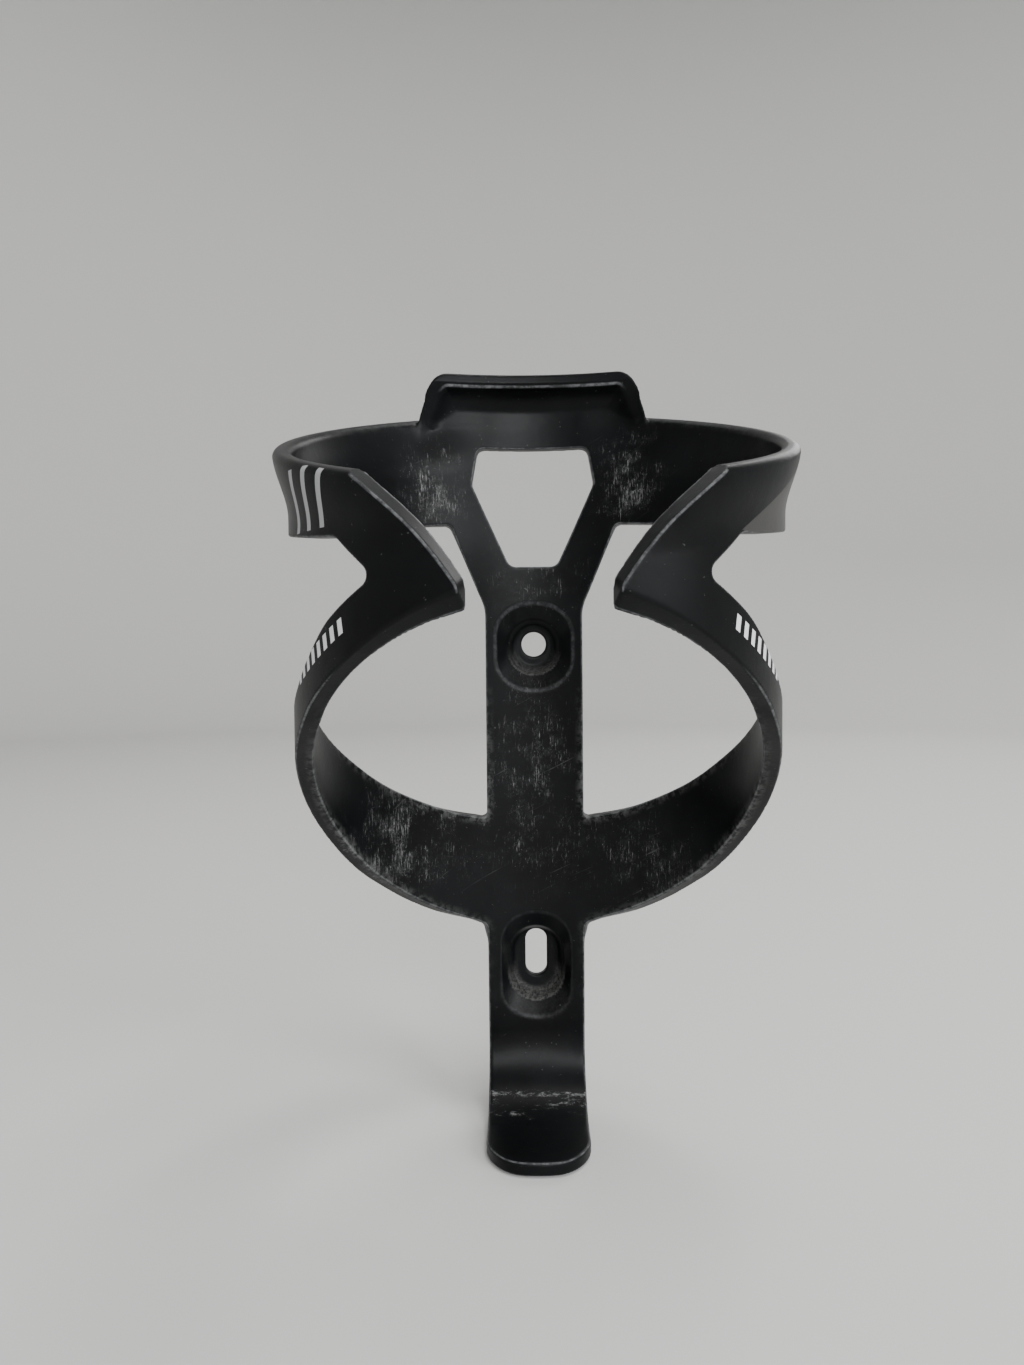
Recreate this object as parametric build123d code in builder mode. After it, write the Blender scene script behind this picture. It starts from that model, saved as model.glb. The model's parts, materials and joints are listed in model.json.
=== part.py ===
"""Bicycle water bottle cage: one plastic moulding, divided at its natural lines into named pieces.

Frame: +Z up along the bottle's axis, -Y towards the open front where the bottle shows, X across.
The origin is the centre of the upper bolt hole, on the rear face that meets the bicycle's tube.
A "turn" is an angle round the bottle's axis: 0 at the spine, 90 at the side, 180 at the open front.
"""

import os
from math import atan, cos, degrees, radians, sin

from build123d import *

# Bottle and wall
grip_radius = 36.2  # inside of the bands, a little under the radius of a 73.5 mm bottle
wall = 2.6
outer_radius = grip_radius + wall
mid_radius = grip_radius + wall / 2
axis_y = -41.7  # the bottle's axis, from the rear mounting face
bottle_axis = Axis((0, axis_y, 0), (0, 0, 1))

# Bolts and their dished seats
bolt_spacing = 64.0
bolt_hole_radius = 2.6
slot_length = 11.0
seat_floor_y = -2.2
seat_floor_radius = 5.8
seat_rim_radius = 7.7
seat_rim_y = -6.8
seat_radius = 8.7
lower_seat_stretch = 5.6  # the slotted seat is this much longer than wide
lower_seat_drop = 1.4  # and sits this far below its slot

# Spine and foot
spine_half_width = 9.75
spine_top = 5.5
spine_foot = -77.2
foot_half_width = 9.5
foot_bend_radius = 15.0
foot_mid_z = -93.6
foot_front_y = -32.4
foot_front_bow = 2.2
foot_corner_radius = 6.5

# Struts above the spine and the window between them, as (distance from the middle plane, height)
strut_top = 23.6
strut_edge = [(spine_half_width, spine_top), (10.5, 9.6), (13.0, 14.8), (16.6, strut_top)]
window_edge = [(10.8, 39.0), (12.2, 32.0), (4.9, 15.6)]
window_corner = 1.6

# Rim of the upper band: it lies in a plane that falls towards the front, and opens out just below it
rim_at_axis_z = 33.2
rim_slope = 0.335
rim_lean = atan(rim_slope)
flare = [(13.0, 0.0), (9.0, 0.4), (5.0, 1.3), (2.5, 1.9), (0.0, 2.2)]  # depth under the rim, widening

# Catch over the spine
catch_foot = 43.5
catch_bend_z = 48.0
catch_bend_radius = 5.5
catch_reach = 3.5
catch_plan_radius = 72.0
catch_back_y = axis_y + outer_radius + 2.1
catch_edge = [(22.2, catch_foot - 1), (18.4, catch_bend_z + catch_bend_radius + 1)]
catch_corner = 5.0

# Flexing lines: the arms bend about upright lines in the wall, the catch about a level one
arm_turn = 40.0
flex_gap = 0.35
wing_turn = 134.0
tip_turn = 172.0
arm_half_gap = degrees(flex_gap / 2 / outer_radius)

# Edges of the lower band, as (turn, top height, foot height), and the foot edge of the upper band
lower_band = [
    (13, -35.0, -57.0),
    (30, -32.9, -53.1),
    (50, -27.3, -46.2),
    (70, -19.9, -36.3),
    (90, -13.3, -25.3),
    (105, -9.0, -17.7),
    (117, -3.6, -12.2),
    (128, 2.0, -6.6),
    (138, 5.8, -2.9),
]
upper_band_foot = [(28, 23.6), (60, 21.5), (90, 18.0), (118, 15.4), (138, 14.3)]

# Front outline of a wing, as (distance from the middle plane, height)
wing_free_edge = [(27.8, 30.0), (10.0, 7.1), (9.7, 4.3)]
wing_foot = [(9.7, 4.3), (16.1, 2.3), (24.1, -2.1), (29.5, -6.5), (33.0, -11.0)]
notch_foot = [(33.0, -1.6), (28.3, 3.3), (24.1, 6.5), (21.6, 8.9)]
notch_top = [(21.6, 8.9), (24.8, 13.3), (27.5, 14.4), (33.0, 15.2)]


def wall_plan(turn_from, turn_to, side=1, inner=grip_radius, outer=outer_radius):
    """Plan of the wall between two turns, on the right (1) or the left (-1)."""
    start = 90 - side * turn_from
    size = side * (turn_from - turn_to)
    with BuildSketch() as plan:
        with BuildLine():
            near = CenterArc((0, axis_y), inner, start, size)
            far = CenterArc((0, axis_y), outer, start, size)
            Line(near @ 0, far @ 0)
            Line(near @ 1, far @ 1)
        make_face()
    return plan.sketch


def band_outline(top, foot):
    """Face between a smooth top edge and a smooth foot edge."""
    with BuildSketch() as outline:
        with BuildLine():
            upper = Spline(*top)
            lower = Spline(*foot)
            Line(upper @ 0, lower @ 0)
            Line(upper @ 1, lower @ 1)
        make_face()
    return outline.sketch


def window_outline():
    """The rounded six-cornered window."""
    corners = window_edge + [(-x, z) for x, z in reversed(window_edge)]
    with BuildSketch() as outline:
        Polygon(*corners, align=None)
        fillet(outline.vertices(), window_corner)
    return outline.sketch


def side_point(turn, height):
    """A point on the wall seen from the side, as (y, z)."""
    return (axis_y + mid_radius * cos(radians(turn)), height)


def rim_plane(depth):
    """The rim's plane, moved down."""
    return Plane(origin=(0, axis_y, rim_at_axis_z - depth), x_dir=(1, 0, 0), z_dir=(0, -rim_slope, 1))


def rim_section(radius):
    """Cut of an upright round wall by the rim's plane."""
    with BuildSketch() as section:
        Ellipse(radius, radius / cos(rim_lean))
    return section.sketch


def flared_blank(radius):
    """The space inside an upper-band wall of a given radius, up to the rim."""
    plain = rim_section(radius)
    opened = [(depth, rim_section(radius + growth)) for depth, growth in flare]
    with BuildPart() as blank:
        with BuildSketch(rim_plane(45)):
            add(plain)
        with BuildSketch(rim_plane(flare[0][0])):
            add(plain)
        loft(ruled=True)
        for depth, section in opened:
            with BuildSketch(rim_plane(depth)):
                add(section)
        loft()
    return blank.part


upper_outside = flared_blank(outer_radius)
upper_inside = flared_blank(grip_radius)
spine_plan = wall_plan(-22, 22)
window_face = window_outline()
pieces = []


def keep(builder, name):
    """Names a finished piece and queues it for writing."""
    builder.part.label = name
    pieces.append(builder.part)


# Spine, with a round opening for each bolt seat
with BuildPart() as spine_rail:
    with BuildSketch(Plane.XY.offset(spine_foot)):
        add(spine_plan)
    extrude(amount=spine_top - spine_foot)
    with BuildSketch(Plane.XZ):
        with Locations((0, (spine_top + spine_foot) / 2)):
            Rectangle(2 * spine_half_width, spine_top - spine_foot)
    extrude(amount=-axis_y, mode=Mode.INTERSECT)
    with BuildSketch(Plane.XZ):
        Circle(seat_radius)
        with Locations((0, -bolt_spacing - lower_seat_drop)):
            SlotCenterToCenter(lower_seat_stretch, 2 * seat_radius, rotation=90)
    extrude(amount=-axis_y, mode=Mode.SUBTRACT)
keep(spine_rail, "spine_rail")


def seat_outline(radius, stretch):
    """Outline of a round seat, or of a slotted one that is longer than wide."""
    with BuildSketch() as outline:
        if stretch:
            SlotCenterToCenter(stretch, 2 * radius, rotation=90)
        else:
            Circle(radius)
    return outline.sketch


def bolt_seat(height, drop, stretch, hole_stretch):
    """A dished bolt seat on its rear standoff pad, open in the middle for the bolt."""
    pad = seat_outline(seat_radius, stretch)
    floor = seat_outline(seat_floor_radius, stretch)
    rim = seat_outline(seat_rim_radius, stretch)
    hole = seat_outline(bolt_hole_radius, hole_stretch)
    seat_height = height - drop
    with BuildPart() as seat:
        with BuildSketch(Plane.XZ):
            with Locations((0, seat_height)):
                add(pad)
        extrude(amount=-axis_y / 2)
        rear = seat.faces().sort_by(Axis.Y)[-1]
        chamfer(rear.edges(), 0.5)
        with BuildSketch(Plane.XY.offset(seat_height - 20)):
            with Locations((0, axis_y)):
                Circle(grip_radius)
        extrude(amount=40, mode=Mode.SUBTRACT)
        with BuildSketch(Plane.XZ.offset(-seat_floor_y)):
            with Locations((0, seat_height)):
                add(floor)
        with BuildSketch(Plane.XZ.offset(-seat_rim_y)):
            with Locations((0, seat_height)):
                add(rim)
        loft(mode=Mode.SUBTRACT)
        with BuildSketch(Plane.XZ):
            with Locations((0, height)):
                add(hole)
        extrude(amount=-axis_y / 2, mode=Mode.SUBTRACT)
    return seat


keep(bolt_seat(0, 0, 0, 0), "upper_bolt_seat")
keep(
    bolt_seat(-bolt_spacing, lower_seat_drop, lower_seat_stretch, slot_length - 2 * bolt_hole_radius),
    "lower_bolt_seat",
)

# Two struts part from the top of the spine and carry the upper band, with the window between them
with BuildPart() as window_yoke:
    with BuildSketch(Plane.XY.offset(spine_top)):
        add(wall_plan(-30, 30))
    extrude(amount=strut_top - spine_top)
    with BuildSketch(Plane.XZ):
        with BuildLine():
            right_edge = Spline(*strut_edge, tangents=[(0, 1), (3.4, 8)])
            left_edge = Spline(*[(-x, z) for x, z in strut_edge], tangents=[(0, 1), (-3.4, 8)])
            Line(right_edge @ 0, left_edge @ 0)
            Line(right_edge @ 1, left_edge @ 1)
        make_face()
    extrude(amount=-axis_y, mode=Mode.INTERSECT)
    with BuildSketch(Plane.XZ):
        add(window_face)
        Circle(seat_radius)
    extrude(amount=-axis_y, mode=Mode.SUBTRACT)
keep(window_yoke, "window_yoke")

# Back of the upper band, between the two flexing lines of the arms and under that of the catch
with BuildPart() as upper_back_band:
    with BuildSketch(Plane.XY.offset(strut_top)):
        add(wall_plan(arm_half_gap - arm_turn, arm_turn - arm_half_gap, inner=30, outer=46))
    extrude(amount=catch_foot - strut_top)
    add(upper_outside, mode=Mode.INTERSECT)
    add(upper_inside, mode=Mode.SUBTRACT)
    with BuildSketch(Plane.XZ):
        add(window_face)
    extrude(amount=-axis_y, mode=Mode.SUBTRACT)
keep(upper_back_band, "upper_back_band")


def lower_root(side, name):
    """The part of the lower band that leaves the spine, up to the arm's flexing line."""
    rows = [row for row in lower_band if row[0] <= 50]
    top = [(side * mid_radius * sin(radians(turn)), height) for turn, height, _ in rows]
    foot = [(side * mid_radius * sin(radians(turn)), height) for turn, _, height in rows]
    plan = wall_plan(10, arm_turn - arm_half_gap, side)
    outline = band_outline(top, foot)
    with BuildPart() as root:
        with BuildSketch(Plane.XY.offset(-65)):
            add(plan)
        extrude(amount=40)
        with BuildSketch(Plane.XZ):
            add(outline)
        extrude(amount=-axis_y, mode=Mode.INTERSECT)
        with BuildSketch(Plane.XZ):
            Rectangle(2 * spine_half_width, 200)
        extrude(amount=-axis_y, mode=Mode.SUBTRACT)
    keep(root, name)


lower_root(-1, "left_lower_root")
lower_root(1, "right_lower_root")

# Foot: the spine flattens, bends forwards under the bottle and ends in a rounded shelf
bend_start_z = foot_mid_z + foot_bend_radius
shelf_back_y = axis_y + mid_radius - foot_bend_radius
with BuildPart() as foot_bend:
    with BuildSketch(Plane.XY.offset(spine_foot)) as hollow_end:
        add(spine_plan)
        with Locations((0, axis_y + mid_radius)):
            Rectangle(2 * spine_half_width, 4 * wall, mode=Mode.INTERSECT)
    with BuildSketch(Plane.XY.offset(bend_start_z)) as flat_end:
        with Locations((0, axis_y + mid_radius)):
            Rectangle(2 * foot_half_width, wall)
    loft()
    hinge_line = Axis((0, shelf_back_y, bend_start_z), (1, 0, 0))
    with BuildSketch(Plane.XY.offset(bend_start_z)):
        with Locations((0, axis_y + mid_radius)):
            Rectangle(2 * foot_half_width, wall)
    revolve(axis=hinge_line, revolution_arc=-90)
keep(foot_bend, "foot_bend")

with BuildPart() as foot_shelf:
    with BuildSketch(Plane.XY.offset(foot_mid_z - wall / 2)) as shelf_face:
        with BuildLine():
            back = Line((-foot_half_width, shelf_back_y), (foot_half_width, shelf_back_y))
            right = Line(back @ 1, (foot_half_width, foot_front_y + foot_front_bow))
            left_front = (-foot_half_width, foot_front_y + foot_front_bow)
            front = ThreePointArc(right @ 1, (0, foot_front_y), left_front)
            Line(front @ 1, back @ 0)
        make_face()
        fillet(shelf_face.vertices().group_by(Axis.Y)[0], foot_corner_radius)
    extrude(amount=wall)
    front_face = foot_shelf.faces().filter_by(Axis.Z)
    rounded = [e for face in front_face for e in face.edges() if e.center().Y < shelf_back_y - 0.1]
    fillet(rounded, 0.8)
keep(foot_shelf, "foot_shelf")


def catch_outline():
    """Front outline of the catch, narrower at the top with rounded corners."""
    corners = catch_edge + [(-x, z) for x, z in reversed(catch_edge)]
    with BuildSketch() as outline:
        Polygon(*corners, align=None)
        fillet(outline.vertices().group_by(Axis.Y)[-1], catch_corner)
    return outline.sketch


def arc_strip(centre_y, inner, half_turn):
    """Plan of a curved strip of wall about a centre on the middle plane."""
    with BuildSketch() as strip:
        with BuildLine():
            near = CenterArc((0, centre_y), inner, 90 - half_turn, 2 * half_turn)
            far = CenterArc((0, centre_y), inner + wall, 90 - half_turn, 2 * half_turn)
            Line(near @ 0, far @ 0)
            Line(near @ 1, far @ 1)
        make_face()
    return strip.sketch


catch_face = catch_outline()
catch_base_radius = catch_back_y - axis_y - wall
catch_plan_y = catch_back_y - catch_plan_radius
base_strip = arc_strip(axis_y, catch_base_radius, 36)
bend_strip = arc_strip(catch_plan_y, catch_plan_radius - wall, 18.5)

# Catch: the wall above the upper band, flattening as it rises, then curling forwards over the bottle
with BuildPart() as catch_wall:
    with BuildSketch(Plane.XY.offset(catch_foot + flex_gap)):
        add(base_strip)
    with BuildSketch(Plane.XY.offset(catch_bend_z)):
        add(bend_strip)
    loft()
    with BuildSketch(Plane.XZ):
        add(catch_face)
    extrude(amount=-axis_y, mode=Mode.INTERSECT)
keep(catch_wall, "catch_wall")

with BuildPart() as catch_lip:
    with BuildSketch(Plane.YZ):
        with BuildLine():
            back_corner = (catch_back_y, catch_bend_z)
            curl_centre = (catch_back_y - catch_bend_radius, catch_bend_z)
            outer_curl = CenterArc(curl_centre, catch_bend_radius, 0, 90)
            inner_curl = CenterArc(curl_centre, catch_bend_radius - wall, 0, 90)
            lip_top = Line(outer_curl @ 1, (outer_curl @ 1) - (catch_reach, 0))
            lip_foot = Line(inner_curl @ 1, (inner_curl @ 1) - (catch_reach, 0))
            Line(outer_curl @ 0, inner_curl @ 0)
            Line(lip_top @ 1, lip_foot @ 1)
        make_face()
    revolve(axis=Axis((0, catch_plan_y, 0), (0, 0, 1)), revolution_arc=18.5)
    mirror(about=Plane.YZ)
    with BuildSketch(Plane.XZ):
        add(catch_face)
    extrude(amount=-axis_y, mode=Mode.INTERSECT)
keep(catch_lip, "catch_lip")


def arm(side, name):
    """Upper band, wing and lower band of one gripping arm."""
    upper_plan = wall_plan(arm_turn + arm_half_gap, wing_turn, side, inner=30, outer=46)
    lower_plan = wall_plan(arm_turn + arm_half_gap, wing_turn, side)
    wing_plan = wall_plan(wing_turn, tip_turn, side, inner=30, outer=46)
    upper_foot = [side_point(turn, height) for turn, height in upper_band_foot]
    rows = [row for row in lower_band if row[0] >= 30]
    lower_top = [side_point(turn, height) for turn, height, _ in rows]
    lower_foot = [side_point(turn, height) for turn, _, height in rows]
    lower_outline = band_outline(lower_top, lower_foot)

    with BuildPart() as upper_band:
        with BuildSketch(Plane.XY.offset(10)):
            add(upper_plan)
        extrude(amount=40)
        add(upper_outside, mode=Mode.INTERSECT)
        add(upper_inside, mode=Mode.SUBTRACT)
        with BuildSketch(Plane.YZ):
            with BuildLine():
                foot = Spline(*upper_foot)
                Polyline(foot @ 0, (foot @ 0) + (5, 0), (5, 60), (-85, 60), (-85, 14), foot @ 1)
            make_face()
        extrude(amount=60 * side, mode=Mode.INTERSECT)
    keep(upper_band, f"{name}_upper_band")

    with BuildPart() as lower_arm:
        with BuildSketch(Plane.XY.offset(-65)):
            add(lower_plan)
        extrude(amount=80)
        with BuildSketch(Plane.YZ):
            add(lower_outline)
        extrude(amount=60 * side, mode=Mode.INTERSECT)
    keep(lower_arm, f"{name}_lower_band")

    with BuildPart() as wing:
        with BuildSketch(Plane.XY.offset(-20)):
            add(wing_plan)
        extrude(amount=60)
        add(upper_outside, mode=Mode.INTERSECT)
        add(upper_inside, mode=Mode.SUBTRACT)
        with BuildSketch(Plane.XZ):
            with BuildLine():
                edge = Polyline(*[(side * x, z) for x, z in wing_free_edge])
                foot = Spline(*[(side * x, z) for x, z in wing_foot])
                Polyline(foot @ 1, (side * 34, foot.position_at(1).Y), (side * 34, 30), edge @ 0)
            make_face()
        extrude(amount=-2 * axis_y, mode=Mode.INTERSECT)
        with BuildSketch(Plane.XZ):
            with BuildLine():
                below = Spline(*[(side * x, z) for x, z in notch_foot])
                above = Spline(*[(side * x, z) for x, z in notch_top])
                Line(above @ 1, below @ 0)
            make_face()
        extrude(amount=-2 * axis_y, mode=Mode.SUBTRACT)
    keep(wing, f"{name}_wing")


arm(-1, "left")
arm(1, "right")

os.makedirs("parts", exist_ok=True)
for piece in pieces:
    export_step(piece, f"parts/{piece.label}.step")
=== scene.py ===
"""Looks of the bottle cage: one smooth moulded skin, cut where the arms and the catch flex."""

import json
import math
from collections import namedtuple

import bmesh
import bpy
import numpy as np
from mathutils import Matrix, Vector


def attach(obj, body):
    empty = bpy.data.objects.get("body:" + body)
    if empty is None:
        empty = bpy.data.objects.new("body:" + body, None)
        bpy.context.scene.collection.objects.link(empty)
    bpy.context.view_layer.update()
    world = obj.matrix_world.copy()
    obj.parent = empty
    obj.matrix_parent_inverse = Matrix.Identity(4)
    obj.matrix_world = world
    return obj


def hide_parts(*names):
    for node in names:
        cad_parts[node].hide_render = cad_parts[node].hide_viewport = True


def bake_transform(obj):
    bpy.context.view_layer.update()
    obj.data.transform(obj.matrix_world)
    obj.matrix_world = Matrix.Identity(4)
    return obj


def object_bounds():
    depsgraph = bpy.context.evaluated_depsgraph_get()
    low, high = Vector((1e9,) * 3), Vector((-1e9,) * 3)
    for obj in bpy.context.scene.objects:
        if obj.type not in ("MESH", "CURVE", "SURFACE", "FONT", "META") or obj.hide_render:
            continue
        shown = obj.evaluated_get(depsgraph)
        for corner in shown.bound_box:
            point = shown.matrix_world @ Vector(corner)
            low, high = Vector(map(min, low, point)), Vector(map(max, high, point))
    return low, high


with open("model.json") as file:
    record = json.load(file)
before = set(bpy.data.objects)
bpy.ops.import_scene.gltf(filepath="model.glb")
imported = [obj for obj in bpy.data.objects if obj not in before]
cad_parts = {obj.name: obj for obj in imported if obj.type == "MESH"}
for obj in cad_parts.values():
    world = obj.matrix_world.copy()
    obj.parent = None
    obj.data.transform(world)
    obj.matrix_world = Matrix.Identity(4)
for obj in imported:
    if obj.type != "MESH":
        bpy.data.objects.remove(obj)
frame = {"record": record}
cad_low, cad_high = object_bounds()
mounts = {m["name"]: m for m in frame["record"]["mounts"]}

# ---------------------------------------------------------------- sizes, in millimetres
AXIS_Y = mounts["bottle_seat"]["pos_m"][1] * 1000
SLOT_Z = mounts["lower_bolt_slot"]["pos_m"][2] * 1000
GRIP_R = 35.95
WALL = 2.9
MID_R = GRIP_R + WALL / 2
EDGE_ROUND = 0.38
RIM_ROUND = 1.1
CELL = 0.4

SPINE_HALF = 9.75
FOOT_BEND_R = 15.0
FOOT_MID_Z = -93.6
FOOT_FRONT_Y = -31.9
FOOT_WALL = 2.6

RIM_AT_AXIS = 33.2
RIM_SLOPE = 0.335
RIM_COS = math.cos(math.atan(RIM_SLOPE))
RIM_FLARE = 2.3
RIM_FLARE_DEPTH = 10.5
BAND_FLARE = 0.4
TIP_U = MID_R * math.radians(164.9)

ARM_CUT_Y = -12.8
CATCH_CUT_Z = 45.2

# bolt seats: the bolt's height, the dish's drop, the radius and half stretch of its step, the slope and half
# stretch of the funnel above the step, and the hole's radius and half stretch
Seat = namedtuple("Seat", "height drop step half slope brim_half hole hole_half")
SEATS = (
    Seat(0.0, 0.5, 5.3, 0.3, 0.9, 1.6, 2.5, 0.0),
    Seat(SLOT_Z, 1.4, 5.6, 2.1, 0.55, 3.9, 2.2, 2.7),
)
PAD_R = 8.7
STEP_Y = -3.9
FLOOR_Y = -1.8
BOWL_SLOPE = 0.6

# printed marks on the outer face, on the unrolled wall: a panel, three bars and two rows of slanted dashes
PANEL_FALL = 0.65
PANEL_EDGES = (52.0, 89.0)
PANEL_FOOT = 14.7
BAR_START = 71.4
BAR_PITCH = 4.0
BAR_SHARE = 0.30
BAR_COUNT = 3
BAR_HEIGHTS = (15.9, 24.3)
BAR_LEAN = 0.35
DASH_CENTRE = (83.3, -0.9)
DASH_TILT = math.radians(28)
DASH_PITCH = 2.1
DASH_ROW_HALF = 8.4
DASH_HALF = 1.0
DASH_LEAN = 0.35


def turn(deg, z, r=0.0):
    """A corner of the unrolled wall by its turn round the axis: (arc length, height, corner radius)."""
    return (MID_R * math.radians(deg), z, r)


def back(x, z, r=0.0):
    """A corner of the unrolled wall near the spine by its distance from the middle plane."""
    return (MID_R * math.asin(x / MID_R), z, r)


def smooth(points, steps=8):
    """Points along a smooth curve through corners."""
    p = np.array(points, float)[:, :2]
    p = np.vstack([2 * p[0] - p[1], p, 2 * p[-1] - p[-2]])
    out = []
    for a, b, c, d in zip(p[:-3], p[1:-2], p[2:-1], p[3:]):
        square, cube = 2 * a - 5 * b + 4 * c - d, 3 * b - a - 3 * c + d
        for t in np.arange(steps) / steps:
            out.append(0.5 * (2 * b + (c - a) * t + square * t**2 + cube * t**3))
    out.append(p[-2])
    return [(q[0], q[1], 0.0) for q in out]


def rounded(corners, steps=7):
    """A closed outline with its corners rounded to their radii."""
    p = np.array(corners, float)
    out = []
    for i, (x, z, r) in enumerate(p):
        here = np.array([x, z])
        if r <= 0:
            out.append(here)
            continue
        before = p[i - 1][:2] - here
        after = p[(i + 1) % len(p)][:2] - here
        before /= np.linalg.norm(before)
        after /= np.linalg.norm(after)
        half = math.acos(float(np.clip(before @ after, -1, 1))) / 2
        reach = r / math.tan(half)
        bisector = before + after
        centre = here + bisector / np.linalg.norm(bisector) * r / math.sin(half)
        a, b = here + before * reach - centre, here + after * reach - centre
        sweep = math.atan2(a[0] * b[1] - a[1] * b[0], a @ b)
        for t in np.linspace(0, 1, steps):
            c, s = math.cos(sweep * t), math.sin(sweep * t)
            out.append(centre + np.array([c * a[0] - s * a[1], s * a[0] + c * a[1]]))
    return np.array(out)


# ---------------------------------------------------------------- the unrolled wall, right half
band_top = smooth([turn(16, -34.9), turn(30, -32.6), turn(50, -27.0), turn(70, -19.6), turn(90, -12.6),
                   turn(104, -9.2), turn(112, -6.6), turn(118, -3.8), turn(124, -0.7), turn(131, 2.9),
                   turn(138, 5.7), turn(142, 7.2)])
band_foot = smooth([turn(163, 3.8), turn(155, 2.3), turn(147, 0.2), turn(138.5, -2.5), turn(130.5, -5.5),
                    turn(122.5, -8.9), turn(117, -11.6), turn(110, -14.8), turn(100, -19.4), turn(90, -24.6),
                    turn(77, -31.6), turn(60, -40.8), turn(50, -45.4), turn(40, -49.5), turn(30, -52.8),
                    turn(20, -55.2)])
upper_foot = smooth([turn(30, 23.4), turn(60, 21.5), turn(90, 18.0), turn(118, 15.4), turn(132, 14.5)])
sheet = rounded(
    [(-20, 80, 0), turn(172, 80, 0), turn(172, 5.4)]
    + band_foot
    + [back(9.75, -56.6, 2.0), back(9.75, -70, 0), (-20, -70, 0)]
)
side_hole = rounded(
    [back(9.75, -35.1, 1.0), back(9.72, 7.2, 8.0), back(16.5, 23.6, 1.4)]
    + upper_foot
    + [turn(135.0, 14.4, 3.0), turn(146.2, 8.7, 1.4)]
    + band_top[::-1]
)
window_side = [(11.1, 39.2, 1.7), (12.4, 32.0, 2.5), (4.7, 15.6, 2.0)]
window = rounded(window_side + [(-x, z, r) for x, z, r in reversed(window_side)])


class Field:
    """Signed distance to the wall's outline, tabled over the unrolled wall."""

    def __init__(self, loops, step=0.25):
        self.step = step
        self.u0, self.z0 = -2.0, -76.0
        us = np.arange(self.u0, 118.0, step, dtype=np.float32)
        zs = np.arange(self.z0, 84.0, step, dtype=np.float32)
        u, z = np.meshgrid(us, zs, indexing="ij")
        best = np.full(u.shape, 1e9, np.float32)
        inside = np.zeros(u.shape, bool)
        for loop in loops:
            for (ax, az), (bx, bz) in zip(loop, np.roll(loop, -1, axis=0)):
                ex, ez = bx - ax, bz - az
                size = ex * ex + ez * ez
                if size < 1e-9:
                    continue
                t = np.clip(((u - ax) * ex + (z - az) * ez) / size, 0, 1)
                dx, dz = u - ax - t * ex, z - az - t * ez
                np.minimum(best, dx * dx + dz * dz, out=best)
                if az != bz:
                    inside ^= (z >= min(az, bz)) & (z < max(az, bz)) & (u < ax + (z - az) * ex / ez)
        self.table = np.where(inside, -1, 1) * np.sqrt(best)

    def __call__(self, u, z):
        n, m = self.table.shape
        a = np.clip((u - self.u0) / self.step, 0, n - 1.001)
        b = np.clip((z - self.z0) / self.step, 0, m - 1.001)
        i, j = a.astype(int), b.astype(int)
        a, b = a - i, b - j
        t = self.table
        low = t[i, j] * (1 - b) + t[i, j + 1] * b
        high = t[i + 1, j] * (1 - b) + t[i + 1, j + 1] * b
        return low * (1 - a) + high * a


outline = Field([sheet, side_hole, window])


# ---------------------------------------------------------------- distance functions
def ease(t):
    """A smooth step from 0 to 1."""
    t = np.clip(t, 0, 1)
    return t * t * (3 - 2 * t)


def join(a, b, k):
    """Either of a and b, with the corner between them filled over a width k."""
    h = np.maximum(k - np.abs(a - b), 0) / k
    return np.minimum(a, b) - h * h * k / 4


def carve(a, b, k):
    """Takes the inverse of b out of a, with the corner between them softened over a width k."""
    return -join(-a, b, k)


def both(a, b, r):
    """Where a and b are both inside, with the edge between them rounded to r."""
    a, b = a + r, b + r
    return np.hypot(np.maximum(a, 0), np.maximum(b, 0)) + np.minimum(np.maximum(a, b), 0) - r


def rim_height(y):
    """Height of the upper band's rim, which falls towards the front."""
    return RIM_AT_AXIS + RIM_SLOPE * (y - AXIS_Y)


def flare_share(x):
    """The rim opens out less under the catch."""
    return 0.35 + 0.65 * ease((np.abs(x) - 9) / 12)


def unroll(p):
    """Arc length from the spine, height, and distance from the middle of the wall."""
    x, y, z = np.abs(p[:, 0]), p[:, 1], p[:, 2]
    a = y - AXIS_Y
    angle = np.arctan2(x, a)
    flat = MID_R * np.arcsin(np.clip(x / MID_R, 0, 1))
    w = ease((np.degrees(angle) - 18) / 17)
    u = np.where(angle > 1.4, MID_R * angle, flat * (1 - w) + MID_R * angle * w)
    depth = rim_height(y) - z
    band = BAND_FLARE * (1 - ease((depth - 15) / 12)) * (1 - ease((u - 72) / 18))
    crease = 0.15 * ease((u - 80) / 9) * ease((15.5 - z) / 3.5) * ease((z + 6) / 12)
    flare = RIM_FLARE * (1 - ease(depth / RIM_FLARE_DEPTH)) * flare_share(x)
    return u, z, np.hypot(x, a) - MID_R - flare - band - crease


def free_edge(u, z, h):
    """Distance past the wing's slanted edge, a shallow arc that leans across the wall, and its blunt tip."""
    arc = np.hypot(u - 53.5, z + 28.9) - 65.3 + 0.17 * (h + WALL / 2)
    return np.where(u > 74, both(arc, u - TIP_U, 0.5), -9.0)


def foot_lean(u, z, h):
    """How far the lower band's foot face leans: one way at the wings and the other way at the spine."""
    lean = np.interp(u, (20, 40, 60, 82, 92, 99, 106), (-0.45, -0.3, -0.05, 0.03, 0.2, 0.5, 0.85))
    middle = np.interp(u, (0, 39, 59, 78.5, 90, 96, 108), (-45, -32, -18.6, -6.5, 1.3, 8, 12))
    return 0.8 * lean * (h + WALL / 2) * ease((middle - z) / 4 + 0.5) * ease((z + 62) / 5)


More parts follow.
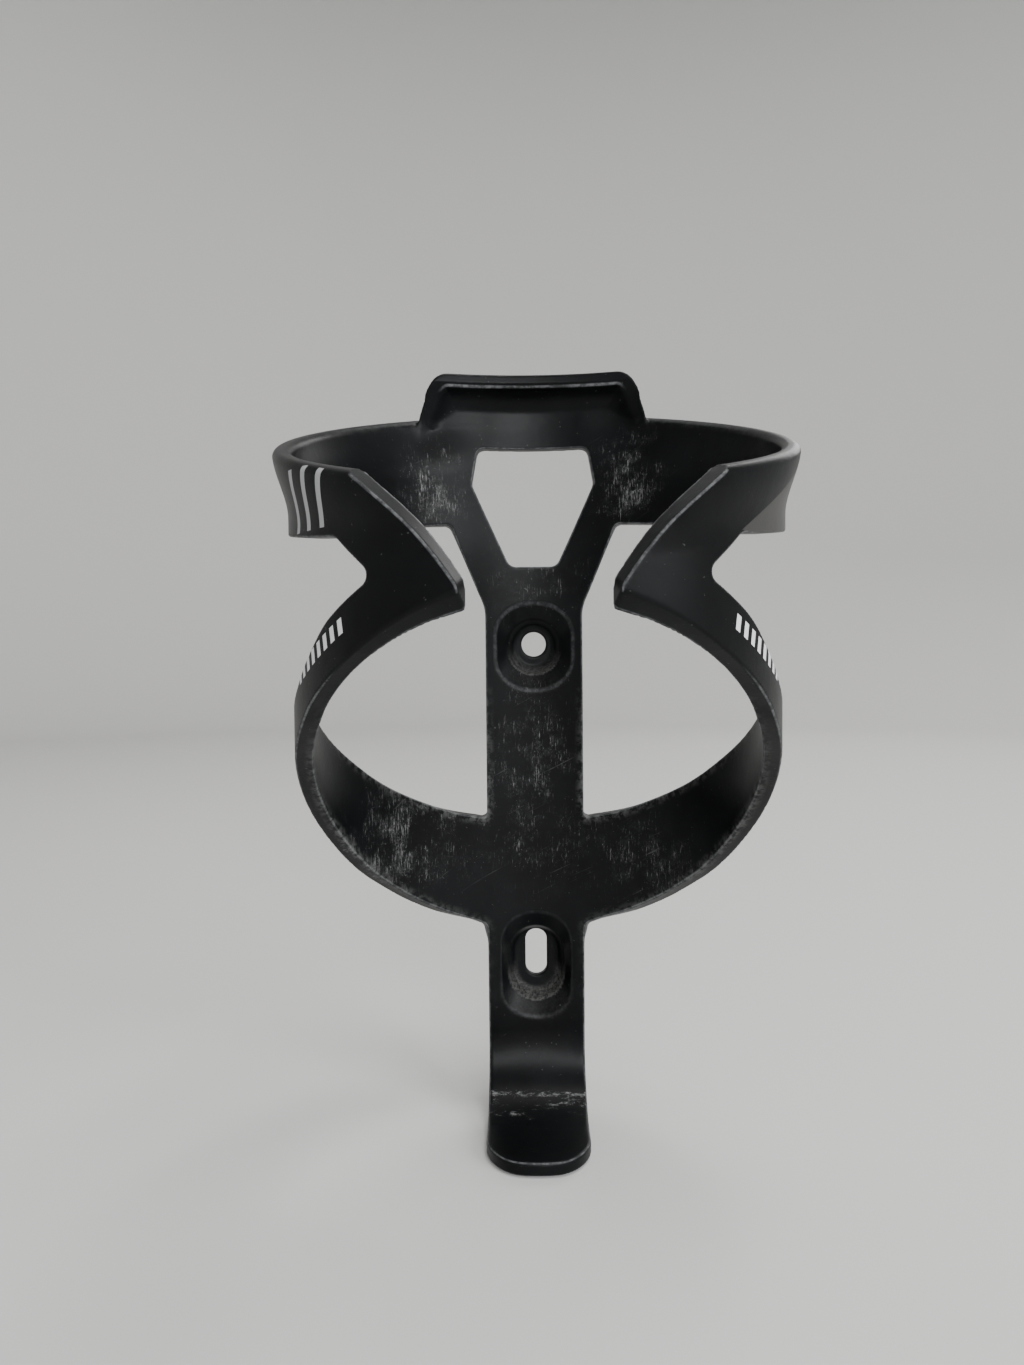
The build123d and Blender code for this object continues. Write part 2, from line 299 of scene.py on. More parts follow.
def wall_distance(p):
    u, z, h = unroll(p)
    edge = both(outline(u, z) + foot_lean(u, z, h), free_edge(u, z, h), 0.4)
    inner = WALL / 2 + 0.35 * ease((u - 78) / 24)
    faces = np.maximum(h - WALL / 2, -h - inner)
    body = both(edge, faces, EDGE_ROUND)
    rim = both((z - rim_height(p[:, 1])) * RIM_COS, faces, RIM_ROUND)
    return np.maximum(body, rim)


# the foot's bend, and distances along the strip from the origin's level
BEND_Z = FOOT_MID_Z + FOOT_BEND_R
BEND_Y = AXIS_Y + MID_R - FOOT_BEND_R
BEND_END = -BEND_Z + FOOT_BEND_R * math.pi / 2
FOOT_END = BEND_END + BEND_Y - FOOT_FRONT_Y


def foot_path(p):
    """Distance along the spine's line down and round to the foot's end, and distance behind it."""
    y, z = p[:, 1], p[:, 2]
    upright = z >= BEND_Z
    ahead = y < BEND_Y
    round_bend = np.arctan2(BEND_Z - z, np.maximum(y - BEND_Y, 1e-6))
    along = np.where(upright, -z, -BEND_Z + FOOT_BEND_R * round_bend)
    along = np.where(~upright & ahead, BEND_END + BEND_Y - y, along)
    behind = np.where(upright, y - AXIS_Y - MID_R, np.hypot(y - BEND_Y, z - BEND_Z) - FOOT_BEND_R)
    behind = np.where(~upright & ahead, FOOT_MID_Z - z, behind)
    behind = np.where(upright & ahead, -FOOT_BEND_R, behind)
    return along, behind


def foot_parts(p):
    """Distances past the foot strip's outline and out of its faces."""
    x = np.abs(p[:, 0])
    along, behind = foot_path(p)
    hollow = MID_R - np.sqrt(np.maximum(MID_R**2 - x * x, 1))
    behind = behind + hollow * (1 - ease((along - 72) / 16))
    thick = (WALL - (WALL - FOOT_WALL) * ease((along - 84) / 20)) / 2
    edge = both(x - SPINE_HALF, along - FOOT_END + 2.2 * (x / SPINE_HALF) ** 2, 6.5)
    return np.maximum(edge, 60 - along), np.abs(behind) - thick


def foot_distance(p):
    return both(*foot_parts(p), 0.6)


catch_side = [(18.1, 52.75, 3.5), (20.9, 49.0, 6), (22.3, 43.6, 0), (23.2, 36, 0)]
catch_outline = rounded([(-x, z, r) for x, z, r in reversed(catch_side)] + catch_side)


def polygon_distance(loop, x, z):
    """Signed distance to a closed outline."""
    best = np.full(x.shape, 1e9)
    inside = np.zeros(x.shape, bool)
    for (ax, az), (bx, bz) in zip(loop, np.roll(loop, -1, axis=0)):
        ex, ez = bx - ax, bz - az
        t = np.clip(((x - ax) * ex + (z - az) * ez) / (ex * ex + ez * ez), 0, 1)
        best = np.minimum(best, (x - ax - t * ex) ** 2 + (z - az - t * ez) ** 2)
        if az != bz:
            inside ^= (z >= min(az, bz)) & (z < max(az, bz)) & (x < ax + (z - az) * ex / ez)
    return np.where(inside, -1, 1) * np.sqrt(best)


def catch_parts(p):
    """Distances to the scoop's outline, into its hollow and past its front edge."""
    x, y, z = p[:, 0], p[:, 1], p[:, 2]
    flat = polygon_distance(catch_outline, x, z)
    skin_depth = 1.25 + 1.15 * ease((z - 46.5) / 5)
    lip = -10.0 - 0.0072 * x * x
    radius = MID_R + RIM_FLARE * flare_share(x) + BAND_FLARE - WALL / 2
    root = AXIS_Y + np.sqrt(np.maximum(radius**2 - x * x, 0))
    front = root + (lip - root) * np.clip((z - 41.5) / 9.5, 0, 1) ** 1.25 + 0.12 * np.maximum(z - 50, 0)
    return flat, flat + skin_depth, (front - y) * 0.8


def catch_distance(p):
    """A scoop that carries the wall upwards, its top and sides curling forwards round a hollow."""
    out = np.full(len(p), 9.0)
    near = np.all((np.abs(p - (0, -7, 47)) < (27, 13, 11)), axis=1)
    p = p[near]
    h = unroll(p)[2]
    flat, inside, ahead = catch_parts(p)
    curl = 3.4 + 2.8 * ease((p[:, 2] - 44) / 4)
    buried = 0.3 * ease((rim_height(p[:, 1]) - 1.6 - p[:, 2]) / 2.5)
    solid = both(flat, h - WALL / 2 + buried, curl)
    hollow = both(inside, h + WALL / 2 - buried, curl)
    shell = -join(-solid, hollow, 0.3)
    cut = both(shell, ahead, 0.45)
    out[near] = np.maximum(cut, 39.8 - p[:, 2])
    return out


def pill(x, z, half):
    """Distance from an upright line reaching half up and half down."""
    return np.hypot(x, np.maximum(np.abs(z) - half, 0))


def brim_distance(p, seat):
    """Distance out of the funnel that leads from the spine's front to the step."""
    ahead = STEP_Y - p[:, 1]
    half = seat.half + (seat.brim_half - seat.half) * np.clip(ahead / 1.5, 0, 1.4)
    around = pill(p[:, 0], p[:, 2] - seat.height + seat.drop, half)
    return (around - seat.step - ahead * seat.slope) / math.hypot(1, seat.slope)


def seat_parts(p):
    """The pads behind the bolt seats, the stepped dishes in front of them and the holes through them."""
    x, y, z = p[:, 0], p[:, 1], p[:, 2]
    pads, dishes, holes = [], [], []
    for seat in SEATS:
        around = pill(x, z - seat.height + seat.drop, seat.half)
        pads.append(both(around - PAD_R, np.maximum(y, -5.0 - y), 0.6))
        floor_r = seat.step - (FLOOR_Y - STEP_Y) * BOWL_SLOPE
        bowl = (around - floor_r - (FLOOR_Y - y) * BOWL_SLOPE) / math.hypot(1, BOWL_SLOPE)
        funnel = np.maximum(brim_distance(p, seat), y - STEP_Y)
        dishes.append(np.maximum(join(funnel, both(bowl, y - FLOOR_Y, 0.7), 0.2), -9.0 - y))
        holes.append(pill(x, z - seat.height, seat.hole_half) - seat.hole)
    return np.minimum(*pads), np.minimum(*dishes), np.minimum(*holes)


def distance(p):
    """Signed distance to the whole moulding's surface."""
    d = np.minimum(wall_distance(p), foot_distance(p))
    d = join(d, catch_distance(p), 0.06 + 0.9 * ease((np.abs(p[:, 0]) - 19.5) / 2.5))
    pads, dishes, holes = seat_parts(p)
    d = join(d, pads, 0.8)
    d = carve(d, dishes, 0.35)
    return carve(d, holes, 0.4)


# ---------------------------------------------------------------- surface of the distance function
def surface(cell):
    """Vertices and four-sided faces where the distance is zero, found in a band round the surface."""
    low = np.array(cad_low) * 1000 - 3.0
    high = np.array(cad_high) * 1000 + 3.0
    ratio = 4
    coarse = cell * ratio
    count = np.ceil((high - low) / coarse).astype(int)
    centres = np.stack(np.meshgrid(*[np.arange(n) for n in count], indexing="ij"), -1)
    flat = low + (centres.reshape(-1, 3) + 0.5) * coarse
    rough = distance(flat).reshape(count)
    active = np.abs(rough) < coarse * 1.3 + 0.6
    grid = np.repeat(np.repeat(np.repeat(rough, ratio, 0), ratio, 1), ratio, 2).astype(np.float32)
    mask = np.repeat(np.repeat(np.repeat(active, ratio, 0), ratio, 1), ratio, 2)
    index = np.argwhere(mask)
    grid[mask] = distance(low + (index + 0.5) * cell)

    solid = grid < 0
    corners = [(i, j, k) for i in (0, 1) for j in (0, 1) for k in (0, 1)]
    size = np.array(grid.shape) - 1

    def at(block, c):
        return block[c[0]:c[0] + size[0], c[1]:c[1] + size[1], c[2]:c[2] + size[2]]

    filled = sum(at(solid, c).astype(np.int8) for c in corners)
    cells = np.argwhere((filled > 0) & (filled < 8))
    number = np.full(size, -1, np.int64)
    number[tuple(cells.T)] = np.arange(len(cells))
    total = np.zeros((len(cells), 3))
    crossings = np.zeros(len(cells))
    for axis in range(3):
        for c in corners:
            if c[axis]:
                continue
            far = list(c)
            far[axis] = 1
            a = grid[tuple((cells + c).T)].astype(float)
            b = grid[tuple((cells + far).T)].astype(float)
            hit = (a < 0) != (b < 0)
            t = np.where(hit, a / np.where(hit, a - b, 1), 0)
            point = cells + np.array(c, float)
            point[:, axis] += t
            total[hit] += point[hit]
            crossings[hit] += 1
    verts = low + (total / crossings[:, None] + 0.5) * cell

    quads = []
    for axis in range(3):
        a = [slice(None)] * 3
        b = [slice(None)] * 3
        a[axis], b[axis] = slice(None, -1), slice(1, None)
        for inward in (True, False):
            first, second = solid[tuple(a)], solid[tuple(b)]
            edges = np.argwhere(first & ~second if inward else ~first & second)
            one, two = (axis + 1) % 3, (axis + 2) % 3
            edges = edges[(edges[:, one] > 0) & (edges[:, two] > 0)]
            ring = []
            for i, j in ((0, 0), (1, 0), (1, 1), (0, 1)):
                cell_at = edges.copy()
                cell_at[:, one] -= 1 - i
                cell_at[:, two] -= 1 - j
                ring.append(number[tuple(cell_at.T)])
            ring = np.stack(ring, 1)
            quads.append(ring if inward else ring[:, ::-1])
    quads = np.vstack(quads)
    for _ in range(3):
        slope = gradient(verts)
        length = np.maximum(np.sum(slope * slope, 1), 0.25)
        step = np.clip(distance(verts) / length, -0.3, 0.3)
        verts = verts - slope * step[:, None]
    return verts, quads


def gradient(p, step=0.15):
    """Direction in which the distance grows."""
    out = np.empty_like(p)
    for axis in range(3):
        move = np.zeros(3)
        move[axis] = step
        out[:, axis] = (distance(p + move) - distance(p - move)) / (2 * step)
    return out


# ---------------------------------------------------------------- skin pieces
def cut(bm, point, normal):
    """Splits the mesh along a plane, leaving both sides."""
    geometry = bm.verts[:] + bm.edges[:] + bm.faces[:]
    bmesh.ops.bisect_plane(bm, geom=geometry, dist=1e-6, plane_co=point, plane_no=normal)


def keep_faces(bm, wanted):
    """Deletes the faces that aren't wanted and closes the cuts."""
    gone = [f for f in bm.faces if not wanted(f.calc_center_median())]
    bmesh.ops.delete(bm, geom=gone, context="FACES")
    loose = [v for v in bm.verts if not v.link_faces]
    bmesh.ops.delete(bm, geom=loose, context="VERTS")
    rims = [e for e in bm.edges if e.is_boundary]
    bmesh.ops.holes_fill(bm, edges=rims, sides=0)
    big = [f for f in bm.faces if len(f.verts) > 4]
    bmesh.ops.triangulate(bm, faces=big)


def in_arm(c):
    return c.y < ARM_CUT_Y / 1000 and -0.075 < c.z < CATCH_CUT_Z / 1000


def in_catch(c):
    return c.z > CATCH_CUT_Z / 1000


verts, quads = surface(CELL)
whole = bpy.data.meshes.new("whole")
whole.from_pydata((verts / 1000).tolist(), [], quads.tolist())
whole.update()


def skin(name, wanted, material):
    """One closed piece of the moulding, with its normals and masks."""
    bm = bmesh.new()
    bm.from_mesh(whole)
    cut(bm, (0, ARM_CUT_Y / 1000, 0), (0, 1, 0))
    cut(bm, (0, 0, CATCH_CUT_Z / 1000), (0, 0, 1))
    keep_faces(bm, wanted)
    mesh = bpy.data.meshes.new(name)
    bm.to_mesh(mesh)
    bm.free()
    mesh.materials.append(material)
    mesh.polygons.foreach_set("use_smooth", [True] * len(mesh.polygons))
    co = np.empty(len(mesh.vertices) * 3, np.float32)
    mesh.vertices.foreach_get("co", co)
    p = co.reshape(-1, 3).astype(float) * 1000
    normal = gradient(p)
    normal /= np.maximum(np.linalg.norm(normal, axis=1), 1e-6)[:, None]
    mesh.normals_split_custom_set_from_vertices(normal.tolist())
    add_masks(mesh, p)
    obj = bpy.data.objects.new(name, mesh)
    bpy.context.scene.collection.objects.link(obj)
    return obj


def blob(value, centre, width):
    """A soft bump round a centre."""
    return np.exp(-(((value - centre) / width) ** 2))


def add_masks(mesh, p):
    """Per-point facts that the material reads: rest position, unrolled position, edges for the worn lines
    and painted highlight lines, wear and dust.
    """
    u, z, h = unroll(p)
    x, y = p[:, 0], p[:, 1]
    su = u * np.sign(x)
    rim = (z - rim_height(y)) * RIM_COS
    foot_border, foot_face = foot_parts(p)
    low_down = z < -66
    border = np.where(low_down, foot_border, np.maximum(outline(u, z), free_edge(u, z, h)))
    face = np.where(low_down, foot_face, np.abs(h) - WALL / 2)
    corner = np.hypot(border + 0.13, face + 0.13)
    foot_wear = np.clip(1 - corner / 1.6, 0, 1) * (h < 0) * (z < -8) * blob(z, -34, 22)
    rim_wear = np.clip(1 - np.hypot(rim + 0.3, h + WALL / 2 - 0.3) / 1.2, 0, 1) * (u > 21)
    inner = (h < 0.3) & (h > -2.4)
    along, behind = foot_path(p)
    streaks = inner * (
        0.72 * blob(su, -20, 9) * blob(z, 31, 8)
        + 0.84 * blob(su, 20, 8) * blob(z, 32, 8.5)
        + 0.6 * blob(su, -32, 19) * blob(z, -38, 12)
        + 0.45 * blob(su, 24, 15) * blob(z, -42, 10)
        + 0.45 * blob(su, 0, 9) * blob(z, -24, 24)
        + 0.35 * blob(su, 0, 12) * blob(z, 14, 8)
    )
    scuffs = (along > 84) * (behind < 0) * (
        0.9 * blob(along, 92.6 + 0.02 * x, 0.8)
        + 0.7 * blob(along, 98.3 + 0.13 * x, 0.7) * ease((1 - x) / 4)
        + 0.65 * blob(along, 95.4 - 0.08 * x, 0.9) * ease((x + 1) / 4)
        + 0.38 * blob(along, 95.5, 4.5)
    )
    dust = np.zeros(len(p))
    brims = []
    for seat in SEATS:
        middle_z = seat.height - seat.drop
        around = pill(x, z - middle_z, seat.half)
        in_bowl = (around < seat.step + 0.3) * (y < -1.2)
        dust += 1.5 * ease((around - 3.3) / 1.5) * in_bowl * ease((middle_z + 0.5 - z) / 5)
        brims.append(brim_distance(p, seat))
        on_slope = (around > seat.step) * (np.abs(brims[-1]) < 0.5) * (np.abs(y + 6.25) < 2.75)
        dust += 0.15 * on_slope * ease((middle_z - 2 - z) / 5)
    front = AXIS_Y + np.sqrt(GRIP_R**2 - np.minimum(np.abs(x), 12) ** 2)
    _, inside, ahead = catch_parts(p)
    on_lip = (z > 48) & (y > -16)
    brim = np.where(np.abs(x) < 9.3, np.minimum(*brims), 9.0)
    masks = {
        "rub": np.maximum(foot_wear, 0.2 * rim_wear),
        "streaks": streaks,
        "scuffs": scuffs,
        "dust": dust,
    }
    spots = {
        "rest": (x, y, z),
        "unrolled": (su, z, h),
        # corner, brim and lip hold distances to the edges that get lighter lines of wear and painted
        # highlight; the lip's line is painted highlight only
        "corner": (border, face, np.ones(len(p))),
        "brim": (brim, y - front, np.where(z < -30, 0.35, 1.0)),
        "lip": (np.where(on_lip, inside, 9.0), ahead, np.abs(x)),
    }
    for name, values in masks.items():
        mesh.attributes.new(name, "FLOAT", "POINT").data.foreach_set("value", values.astype(np.float32))
    for name, values in spots.items():
        layer = mesh.attributes.new(name, "FLOAT_VECTOR", "POINT")
        layer.data.foreach_set("vector", np.stack(values, 1).astype(np.float32).ravel())


# ---------------------------------------------------------------- material
class Graph:
    """Short names for shader nodes."""

    def __init__(self, name):
        self.material = bpy.data.materials.new(name)
        self.material.use_nodes = True
        self.tree = self.material.node_tree
        self.tree.nodes.clear()

    def node(self, kind, values=(), **props):
        """A node, with each input linked to a socket or set to a value."""
        n = self.tree.nodes.new(kind)
        for key, value in props.items():
            setattr(n, key, value)
        for key, value in dict(values).items():
            if isinstance(value, bpy.types.NodeSocket):
                self.tree.links.new(value, n.inputs[key])
            else:
                n.inputs[key].default_value = value
        return n

    def math(self, op, a, b=0.0, c=0.0, clamp=False):
        values = {0: a, 1: b}
        if op == "MULTIPLY_ADD":
            values[2] = c
        return self.node("ShaderNodeMath", values, operation=op, use_clamp=clamp).outputs[0]

    def product(self, *values, clamp=False):
        """All the values multiplied together."""
        result = values[0]
        for value in values[1:]:
            result = self.math("MULTIPLY", result, value, clamp=clamp)
        return result

    def between(self, value, low, high):
        """One between two limits, nothing outside them."""
        return self.product(self.math("GREATER_THAN", value, low), self.math("LESS_THAN", value, high))

    def axes(self, vector):
        return self.node("ShaderNodeSeparateXYZ", {0: vector}).outputs

    def ramp(self, value, low, high, out_low=0.0, out_high=1.0):
        """A smooth step between two limits."""
        return self.node(
            "ShaderNodeMapRange",
            {0: value, 1: low, 2: high, 3: out_low, 4: out_high},
            interpolation_type="SMOOTHSTEP",
            clamp=True,
        ).outputs[0]

    def attribute(self, name, output="Fac"):
        return self.node("ShaderNodeAttribute", attribute_name=name).outputs[output]

    def noise(self, vector, scale, detail=3.0, rough=0.5, stretch=(1, 1, 1)):
        moved = self.node("ShaderNodeMapping", {"Vector": vector, "Scale": stretch}).outputs[0]
        values = {"Vector": moved, "Scale": scale, "Detail": detail, "Roughness": rough}
        return self.node("ShaderNodeTexNoise", values).outputs["Fac"]

    # Lines that the material lightens, partly as edge wear and partly as painted highlight.
    def wear_and_highlight_line(self, name, a_shift, b_shift, wide):
        """A thin line where both distances that an attribute holds are near nothing, and its third value."""
        a, b, third = self.axes(self.attribute(name, "Vector"))
        a = self.math("POWER", self.math("ADD", a, a_shift), 2.0)
        b = self.math("POWER", self.math("ADD", b, b_shift), 2.0)
        return self.ramp(self.math("SQRT", self.math("ADD", a, b)), wide, 0.3 * wide), third

    def mix(self, share, a, b):
        return self.node("ShaderNodeMix", {0: share, 6: a, 7: b}, data_type="RGBA").outputs[2]


def cage_material():
    g = Graph("cage_plastic")
    rest = g.attribute("rest", "Vector")
    unrolled = g.attribute("unrolled", "Vector")
    u, z, h = g.axes(unrolled)
    outer = g.ramp(h, 0.9, 1.0)

    # printed panel on the right, bars on the left, a row of slanted dashes on each lower band
    falling = g.math("MULTIPLY_ADD", u, PANEL_FALL, z)
    panel_low, panel_high = (PANEL_FOOT - 0.3 + PANEL_FALL * edge for edge in PANEL_EDGES)
    panel = g.product(
        g.between(falling, panel_low, panel_high),
        g.math("GREATER_THAN", u, 30.0),
        g.math("GREATER_THAN", z, PANEL_FOOT),
        outer,
    )

    bar_space = g.math("MULTIPLY_ADD", z, -BAR_LEAN, g.math("MULTIPLY", u, -1.0))
    bar_space = g.math("SUBTRACT", bar_space, BAR_START)
    bar_phase = g.math("FRACT", g.math("DIVIDE", bar_space, BAR_PITCH))
    bars = g.product(
        g.math("LESS_THAN", bar_phase, BAR_SHARE),
        g.between(bar_space, 0.0, BAR_COUNT * BAR_PITCH),
        g.between(z, *BAR_HEIGHTS),
        outer,
    )

    c, s = math.cos(DASH_TILT), math.sin(DASH_TILT)
    du = g.math("SUBTRACT", g.math("ABSOLUTE", u), DASH_CENTRE[0])
    dz = g.math("SUBTRACT", z, DASH_CENTRE[1])
    line = g.math("MULTIPLY_ADD", dz, s, g.math("MULTIPLY", du, c))
    across = g.math("MULTIPLY_ADD", dz, c, g.math("MULTIPLY", du, -s))
    lean = g.math("MULTIPLY_ADD", across, -DASH_LEAN, line)
    dash_phase = g.math("FRACT", g.math("DIVIDE", g.math("ADD", lean, 40.0), DASH_PITCH))
    dashes = g.product(
        g.math("LESS_THAN", dash_phase, 0.5),
        g.between(lean, -DASH_ROW_HALF - 0.1, DASH_ROW_HALF - 0.1),
        g.between(across, -DASH_HALF, DASH_HALF),
        outer,
    )

    # surface variation, all in millimetres
    broad = g.noise(rest, 0.06, 3.0)
    grain = g.noise(rest, 2.6, 3.0, 0.6)
    orange = g.noise(rest, 0.55, 2.0)
    clusters = g.ramp(g.noise(rest, 0.20, 4.0, 0.62), 0.38, 0.60)
    weight = g.product(g.attribute("streaks"), g.math("MULTIPLY_ADD", clusters, 0.7, 0.3), clamp=True)
    hair = g.noise(unrolled, 1.0, 5.0, 0.75, stretch=(4.2, 0.45, 0.3))
    streak = g.ramp(g.math("MULTIPLY_ADD", weight, 0.22, hair), 0.63, 0.80)
    flecks = g.noise(unrolled, 1.0, 5.0, 0.75, stretch=(2.2, 1.3, 1.3))
    fleck = g.ramp(g.math("MULTIPLY_ADD", weight, 0.20, flecks), 0.66, 0.82)
    turned = {"Vector": unrolled, "Angle": 1.1}
    slashes = g.node("ShaderNodeVectorRotate", turned, rotation_type="Z_AXIS").outputs[0]
    slash = g.noise(slashes, 1.0, 2.0, 0.5, stretch=(2.2, 0.08, 0.2))
    slash = g.ramp(g.math("MULTIPLY_ADD", weight, 0.05, slash), 0.71, 0.78)
    haze = g.product(g.ramp(g.noise(rest, 0.9, 6.0, 0.8), 0.40, 0.70), g.ramp(weight, 0.05, 0.75))
    scratched = g.math("MAXIMUM", streak, g.math("MAXIMUM", fleck, g.math("MULTIPLY", slash, 0.25)))
    scratched = g.product(scratched, g.ramp(weight, 0.03, 0.35))
    rubs = g.noise(rest, 1.0, 8.0, 0.8, stretch=(0.6, 1.6, 1.6))
    scuff = g.ramp(g.math("MULTIPLY_ADD", g.attribute("scuffs"), 0.13, rubs), 0.62, 0.80)
    scuff = g.product(scuff, g.ramp(g.attribute("scuffs"), 0.05, 0.5))
    marks = g.math("MAXIMUM", scratched, scuff)
    motes = g.ramp(g.noise(rest, 1.6, 7.0, 0.85), 0.36, 0.68)
    dusty = g.product(g.attribute("dust"), motes, clamp=True)
    patchy = g.ramp(g.noise(rest, 0.8, 4.0, 0.65), 0.40, 0.62)
    # Edge lines lightened in the colour: along the outer corners and the seat brims they are partly edge
    # wear and partly painted highlight; along the catch lip's lower front edge the line is a painted
    # highlight.
    corner_wear_and_highlight, _ = g.wear_and_highlight_line("corner", 0.11, 0.11, 0.29)
    brim_wear_and_highlight, brim_share = g.wear_and_highlight_line("brim", 0.0, 0.0, 0.40)
    lip_highlight, lip_reach = g.wear_and_highlight_line("lip", 0.1, 0.1, 0.42)
    brim_wear_and_highlight = g.product(brim_wear_and_highlight, brim_share, 0.24)
    lip_highlight = g.product(lip_highlight, g.ramp(lip_reach, 18.5, 15.5))
    wear_and_highlight_lines = g.math("MAXIMUM", brim_wear_and_highlight, lip_highlight)
    wear_and_highlight_lines = g.math("MAXIMUM", g.product(corner_wear_and_highlight, 0.62), wear_and_highlight_lines)
    wear_and_highlight = g.product(wear_and_highlight_lines, g.math("MULTIPLY_ADD", patchy, 0.65, 0.35), clamp=True)
    rubbed = g.product(g.attribute("rub"), patchy, clamp=True)
    specks = g.ramp(g.noise(rest, 1.7, 2.0, 0.5), 0.715, 0.76)

    color = g.mix(g.ramp(broad, 0.3, 0.7), (0.0018, 0.0020, 0.0023, 1), (0.0042, 0.0047, 0.0053, 1))
    layers = (
        # edge lines: partly edge wear, partly painted highlight; the lip line is painted highlight only
        (wear_and_highlight, 1.0, (0.150, 0.155, 0.160)),
        (rubbed, 0.55, (0.120, 0.122, 0.118)),
        (dusty, 0.55, (0.105, 0.102, 0.098)),
        (haze, 0.45, (0.055, 0.058, 0.057)),
        (specks, 0.30, (0.14, 0.14, 0.14)),
        (marks, 0.60, (0.30, 0.30, 0.30)),
        (panel, 1.0, (0.043, 0.042, 0.040)),
        (bars, 0.9, (0.36, 0.36, 0.37)),
        (dashes, 0.95, (0.72, 0.72, 0.73)),
    )
    for mask, strength, layer in layers:
        color = g.mix(g.math("MULTIPLY", mask, strength), color, layer + (1,))

    rough = g.math("MULTIPLY_ADD", broad, 0.12, 0.27)
    rough = g.math("MULTIPLY_ADD", grain, 0.08, rough)
    rough = g.math("MULTIPLY_ADD", marks, 0.22, rough)
    rough = g.math("MULTIPLY_ADD", dusty, 0.25, rough, clamp=True)

    height = g.math("MULTIPLY_ADD", orange, 1.2, g.math("MULTIPLY", grain, 0.5))
    height = g.math("MULTIPLY_ADD", marks, -0.8, height)
    bump = g.node("ShaderNodeBump", {"Height": height, "Strength": 0.35, "Distance": 0.00006}).outputs[0]
    shader = g.node(
        "ShaderNodeBsdfPrincipled",
        {"Base Color": color, "Roughness": rough, "IOR": 1.5, "Specular IOR Level": 0.12, "Normal": bump},
    )
    g.node("ShaderNodeOutputMaterial", {"Surface": shader.outputs[0]})
    return g.material


plastic = cage_material()
spine_skin = skin("spine_skin", lambda c: not in_arm(c) and not in_catch(c), plastic)
left_skin = skin("left_arm_skin", lambda c: in_arm(c) and c.x < 0, plastic)
right_skin = skin("right_arm_skin", lambda c: in_arm(c) and c.x > 0, plastic)
catch_skin = skin("catch_skin", in_catch, plastic)
bpy.data.meshes.remove(whole)

nodes = frame["record"]["behaviour"]["bodies"]
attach(spine_skin, "spine")
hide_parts(*nodes["spine"])
for piece, body in ((left_skin, "left_arm"), (right_skin, "right_arm")):
    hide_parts(*nodes[body])
    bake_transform(piece)
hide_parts(*nodes["catch"])
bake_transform(catch_skin)


# ---------------------------------------------------------------- studio
def stage_material(name, color, roughness):
    g = Graph(name)
    coordinates = g.node("ShaderNodeTexCoord").outputs["Object"]
    soft = g.ramp(g.noise(coordinates, 9.0, 3.0), 0.3, 0.7, 0.97, 1.0)
    tint = g.mix(soft, tuple(0.96 * v for v in color) + (1,), tuple(color) + (1,))
    shader = g.node("ShaderNodeBsdfPrincipled", {"Base Color": tint, "Roughness": roughness})
    g.node("ShaderNodeOutputMaterial", {"Surface": shader.outputs[0]})
    return g.material


def backdrop():
    """A plain pale floor that sweeps up into a wall all round, far from the object."""
    floor_z = min(cad_low.z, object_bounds()[0].z) - 0.0002
    radius, far, height, steps, sides = 0.35, 0.95, 1.7, 16, 96
    line = [(0.12 * far, floor_z), (0.5 * far, floor_z), (far, floor_z)]
    for i in range(1, steps + 1):
        a = math.radians(90 * i / steps)
        line.append((far + radius * math.sin(a), floor_z + radius * (1 - math.cos(a))))
    line.append((far + radius, floor_z + height))
    bm = bmesh.new()
    centre = bm.verts.new((0, 0, floor_z))
    around = [(math.cos(math.tau * i / sides), math.sin(math.tau * i / sides)) for i in range(sides)]
    rows = [[bm.verts.new((r * c, r * s, z)) for c, s in around] for r, z in line]
    for i in range(sides):
        after = (i + 1) % sides
        bm.faces.new((centre, rows[0][i], rows[0][after]))
        for a, b in zip(rows, rows[1:]):
            bm.faces.new((a[i], b[i], b[after], a[after]))
    mesh = bpy.data.meshes.new("studio_floor")
    bm.to_mesh(mesh)
    bm.free()
    mesh.polygons.foreach_set("use_smooth", [True] * len(mesh.polygons))
    mesh.materials.append(stage_material("studio_floor", (0.60, 0.597, 0.585), 0.75))
    obj = bpy.data.objects.new("studio_floor", mesh)
    bpy.context.scene.collection.objects.link(obj)


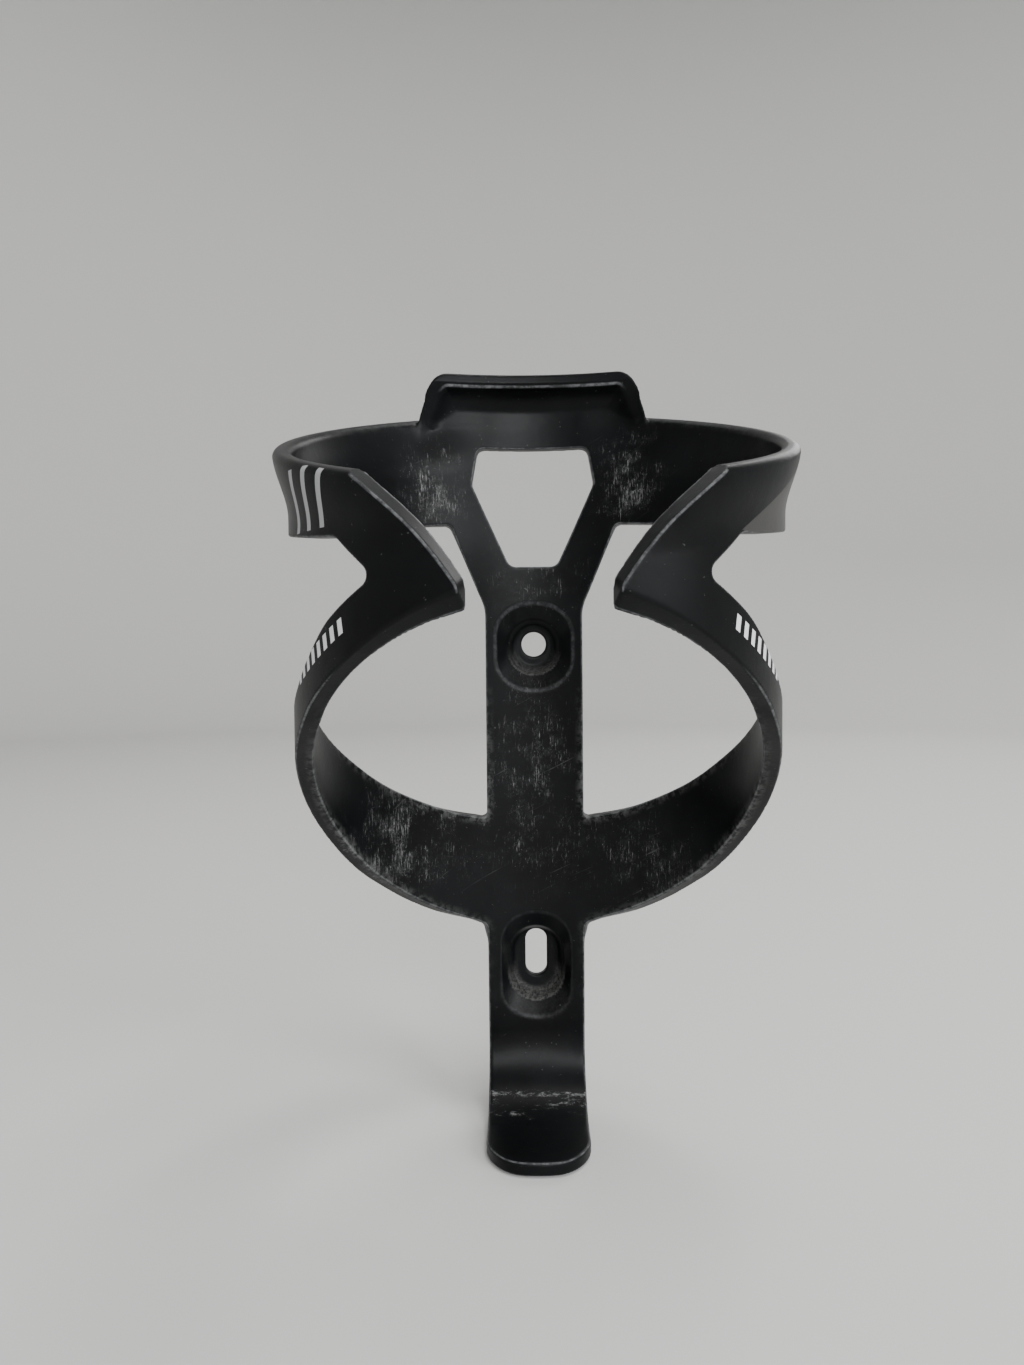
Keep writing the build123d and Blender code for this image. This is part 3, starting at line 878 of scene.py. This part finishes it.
def softbox(name, place, target, size, power, color=(1, 1, 1)):
    """A soft rectangular light turned to its target."""
    light = bpy.data.lights.new(name, "AREA")
    light.shape = "RECTANGLE"
    light.size, light.size_y = size
    light.energy = power
    light.color = color
    obj = bpy.data.objects.new(name, light)
    obj.location = place
    obj.rotation_euler = (Vector(target) - Vector(place)).to_track_quat("-Z", "Y").to_euler()
    bpy.context.scene.collection.objects.link(obj)


backdrop()
middle = (0, -0.04, -0.02)
softbox("key", (0.80, -0.68, 0.42), middle, (0.55, 0.50), 8.5, (0.97, 0.985, 1.0))
softbox("front", (0.20, -1.05, 0.36), middle, (0.45, 0.40), 8.5, (0.97, 0.985, 1.0))
softbox("above", (0.22, -0.12, 0.95), middle, (0.45, 0.35), 6, (1.0, 0.99, 0.98))
softbox("top", (0.0, 0.45, 1.10), (0, 0.45, -0.1), (1.2, 0.6), 4)
softbox("rear", (0.55, 0.80, 0.60), middle, (0.45, 0.45), 3, (1.0, 0.99, 0.98))
world = bpy.data.worlds.new("studio")
world.use_nodes = True
sky = world.node_tree.nodes["Background"]
sky.inputs["Color"].default_value = (0.93, 0.95, 1.0, 1)
sky.inputs["Strength"].default_value = 0.06
bpy.context.scene.world = world

# ---------------------------------------------------------------- camera
eye = Vector((-1.995, -197.097, -0.981)) / 1000
yaw, pitch, roll = -0.0130, 0.0350, -0.0090
ahead = Vector((math.sin(yaw) * math.cos(pitch), math.cos(yaw) * math.cos(pitch), -math.sin(pitch)))
level = Vector((math.cos(yaw), -math.sin(yaw), 0))
upward = level.cross(ahead)
right = level * math.cos(roll) + upward * math.sin(roll)
up = upward * math.cos(roll) - level * math.sin(roll)
camera = bpy.data.cameras.new("camera")
camera.lens = 24.976
camera.sensor_width = 36.0
camera.clip_start = 0.01
camera_object = bpy.data.objects.new("camera", camera)
camera_object.matrix_world = Matrix.Translation(eye) @ Matrix((right, up, -ahead)).transposed().to_4x4()
bpy.context.scene.collection.objects.link(camera_object)
bpy.context.scene.camera = camera_object
